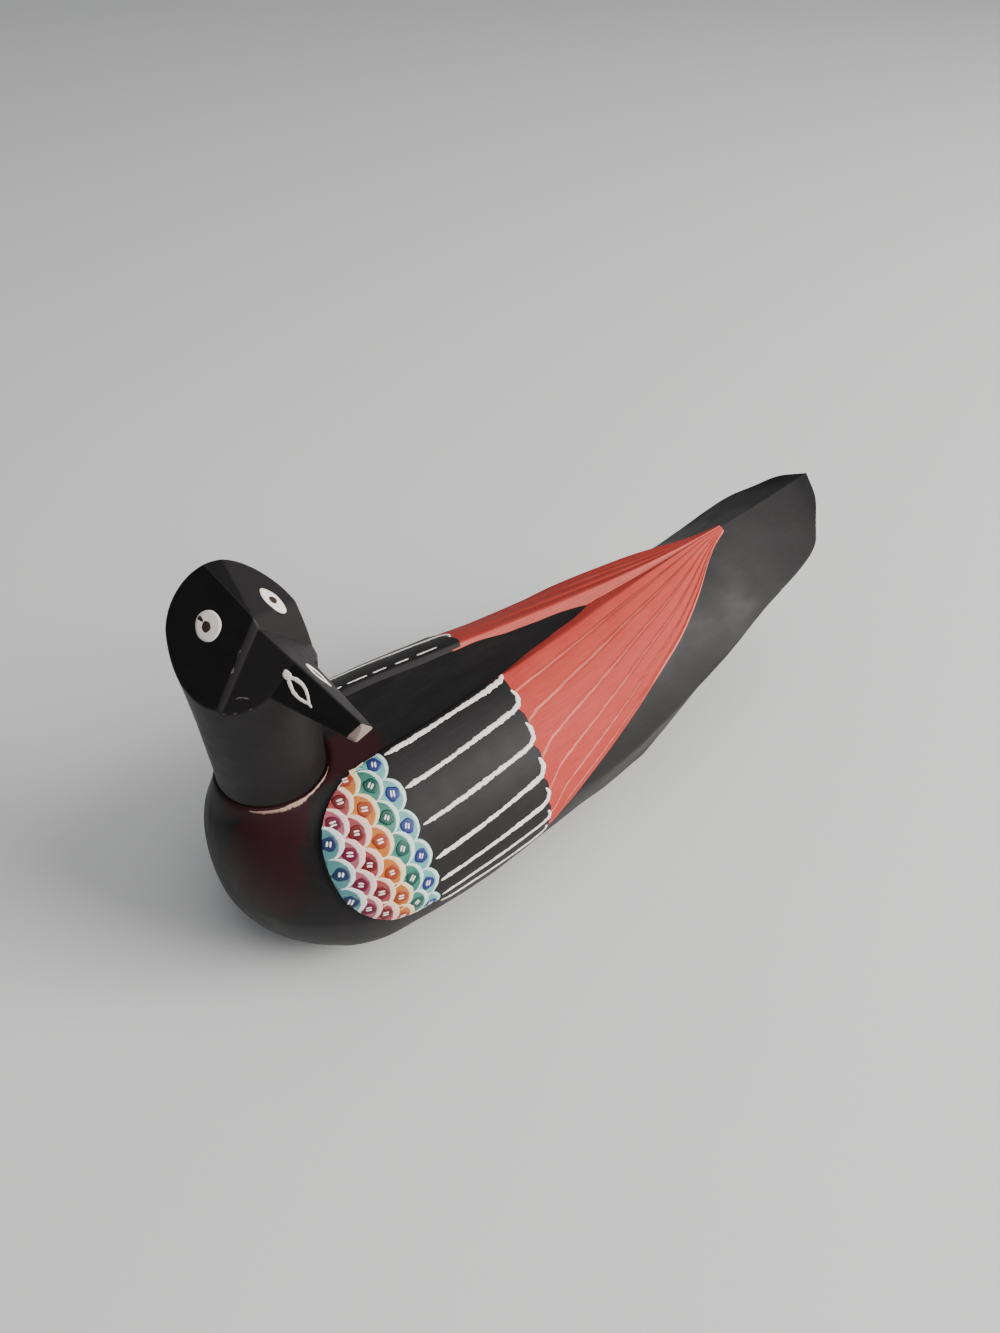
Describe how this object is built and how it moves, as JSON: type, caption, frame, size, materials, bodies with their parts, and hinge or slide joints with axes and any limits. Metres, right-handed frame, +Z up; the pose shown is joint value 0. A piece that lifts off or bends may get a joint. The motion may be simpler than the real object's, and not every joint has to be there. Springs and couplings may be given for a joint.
{
  "type": "carved wooden bird",
  "caption": "Carved and painted wooden bird that rests on its flat belly, with folded wings, a raised flat tail and the head turned to look over its left wing.",
  "frame": {"origin": "on the table, under the middle of the bird's bounding box", "axes": "+Y from the breast to the tail, +X to the bird's left, +Z up"},
  "size_m": [0.0856, 0.25, 0.1351],
  "materials": {
    "body_wood": "carved wood under satin black paint, with coral, white and rainbow painted feathers",
    "head_wood": "carved wood under satin black paint, bare at the tip of the beak"
  },
  "bodies": {
    "root": {"body": "body_wood", "head": "head_wood"}
  },
  "joints": []
}
